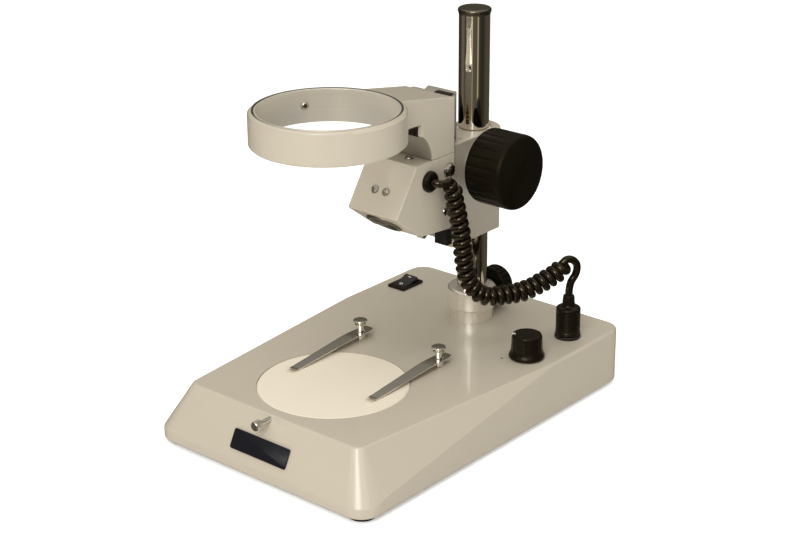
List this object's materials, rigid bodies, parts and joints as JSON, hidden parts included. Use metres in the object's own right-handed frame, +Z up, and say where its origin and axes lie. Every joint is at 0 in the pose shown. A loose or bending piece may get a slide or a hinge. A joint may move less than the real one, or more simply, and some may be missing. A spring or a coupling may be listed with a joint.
{
  "type": "stereo microscope stand",
  "caption": "Stereo microscope stand: sloped base with stage plate and spring clips, chrome pole, rack focusing block, holder ring on an arm with a built-in lamp and a coiled lamp cord.",
  "frame": {"origin": "on the desk under the middle of the stand's outline, measured without the coiled cord", "axes": "+Z up, +Y to the rear (pole side), +X to the user's right"},
  "size_m": [0.175, 0.267, 0.2519],
  "materials": {
    "painted_shell": "satin grey-beige enamel, slightly glossy",
    "painted_head": "satin grey-beige enamel on a casting, bare machined bore",
    "steel_screws": "nickel-plated screws",
    "chrome_trim": "polished chrome plate",
    "polished_pole": "hard chrome tube, mirror polish",
    "turned_aluminium": "lathe-turned, fine rings, clear anodised",
    "bare_slide": "milled, bare",
    "brass_gear": "machined brass",
    "black_plastic": "moulded black plastic",
    "black_gloss": "smooth black plastic",
    "black_knob": "fluted black bakelite",
    "black_metal": "blackened metal",
    "stage_cream": "cream white, smooth",
    "label_black": "printed plate, left blank",
    "foot_rubber": "moulded rubber",
    "cord_pvc": "black PVC strand",
    "bush_plastic": "natural acetal",
    "core_steel": "stacked laminations",
    "coil_tape": "yellow insulating tape",
    "board_green": "glass-fibre board with parts",
    "lens_glass": "clear lens",
    "lamp_glass": "lamp envelope",
    "reflector_metal": "polished reflector",
    "ceramic_holder": "ceramic lamp base on a bracket",
    "cover_steel": "black painted sheet"
  },
  "bodies": {
    "base": {"base_housing": "painted_shell", "bottom_cover": "cover_steel", "base_screws": "steel_screws", "rubber_feet": "foot_rubber", "stage_plate": "stage_cream", "name_plate": "label_black", "clip_posts": "chrome_trim", "pole": "polished_pole", "pole_cap": "chrome_trim", "pole_flange": "turned_aluminium", "pole_collar": "turned_aluminium", "switch_body": "black_plastic", "dimmer_control": "black_metal", "panel_nuts": "steel_screws", "lamp_socket": "black_metal", "lamp_plug": "black_plastic", "cord_lower": "cord_pvc", "cord_coil_lower": "cord_pvc", "power_inlet": "black_plastic", "fuse_holder": "black_plastic", "transformer_core": "core_steel", "transformer_winding": "coil_tape", "circuit_board": "board_green", "board_spacers": "bush_plastic"},
    "plate_screw": {"stage_plate_screw": "chrome_trim"},
    "clip_left": {"stage_clip_left": "chrome_trim"},
    "clip_right": {"stage_clip_right": "chrome_trim"},
    "pole_knob": {"pole_clamp_knob": "black_knob"},
    "rocker": {"switch_rocker": "black_gloss"},
    "dimmer": {"dimmer_knob": "black_plastic", "dimmer_shaft": "bare_slide"},
    "carrier": {"pole_bush": "bush_plastic", "cord_coil_middle": "cord_pvc"},
    "block": {"focus_block": "painted_head", "gib_strip": "brass_gear", "gib_screws": "steel_screws", "pinion_bushes": "brass_gear", "cord_coil_upper": "cord_pvc"},
    "block_knob": {"block_clamp_knob": "black_knob"},
    "focus_drive": {"pinion_shaft": "bare_slide", "pinion": "brass_gear", "focus_knob_right": "black_knob", "focus_knob_left": "black_knob"},
    "holder": {"slide_plate": "bare_slide", "slide_screws": "steel_screws", "slide_rack": "brass_gear", "slide_stop_upper": "black_metal", "slide_stop_lower": "black_metal", "holder_arm": "painted_head", "lamp_housing": "painted_head", "housing_screws": "steel_screws", "side_screw": "chrome_trim", "lamp_bezel": "bare_slide", "lamp_lens": "lens_glass", "lamp_bulb": "lamp_glass", "lamp_holder": "ceramic_holder", "lamp_reflector": "reflector_metal", "cord_grommet": "black_plastic", "cord_upper": "cord_pvc"},
    "ring_screw": {"ring_clamp_screw": "chrome_trim"}
  },
  "joints": [
    {"name": "plate_screw_turn", "type": "hinge", "parent": "base", "child": "plate_screw", "pos_m": [0, -0.1225, 0.0374], "axis": [0, -1, 0], "range_deg": [0, 720]},
    {"name": "clip_left_swivel", "type": "hinge", "parent": "base", "child": "clip_left", "pos_m": [-0.033, 0.0001, 0.044], "axis": [0, 0, 1], "range_deg": [-60, 50]},
    {"name": "clip_right_swivel", "type": "hinge", "parent": "base", "child": "clip_right", "pos_m": [0.033, 0.0001, 0.044], "axis": [0, 0, 1], "range_deg": [-50, 60]},
    {"name": "pole_knob_turn", "type": "hinge", "parent": "base", "child": "pole_knob", "pos_m": [0, 0.0975, 0.056], "axis": [0, 1, 0], "range_deg": [0, 360]},
    {"name": "rocker_tilt", "type": "hinge", "parent": "base", "child": "rocker", "pos_m": [-0.07, 0.0892, 0.0402], "axis": [1, 0, 0], "range_deg": [-24, 0]},
    {"name": "dimmer_turn", "type": "hinge", "parent": "base", "child": "dimmer", "pos_m": [0.068, 0.046, 0.045], "axis": [0, 0, 1], "range_deg": [-250, 0]},
    {"name": "height_slide", "type": "slide", "parent": "base", "child": "carrier", "axis": [0, 0, 1], "range_m": [-0.028, 0.06], "deforming": ["cord_coil_lower"]},
    {"name": "pole_swivel", "type": "hinge", "parent": "carrier", "child": "block", "pos_m": [0, 0.0755, 0.14], "axis": [0, 0, 1], "range_deg": [-35, 35], "deforming": ["cord_coil_middle"]},
    {"name": "block_knob_turn", "type": "hinge", "parent": "block", "child": "block_knob", "pos_m": [0, 0.0975, 0.14], "axis": [0, 1, 0], "range_deg": [0, 360]},
    {"name": "focus_slide", "type": "slide", "parent": "block", "child": "holder", "axis": [0, 0, 1], "range_m": [-0.018, 0.022], "deforming": ["cord_coil_upper"]},
    {"name": "focus_turn", "type": "hinge", "parent": "block", "child": "focus_drive", "pos_m": [0, 0.056, 0.158], "axis": [1, 0, 0], "range_deg": [-230, 230]},
    {"name": "ring_screw_turn", "type": "hinge", "parent": "holder", "child": "ring_screw", "pos_m": [-0.0415, -0.04043, 0.2075], "axis": [-0.8829, 0.4695, 0], "range_deg": [-360, 0]}
  ],
  "couplings": [
    {"joint": "focus_turn", "follows": "focus_slide", "rad_per_m": -178.57}
  ]
}
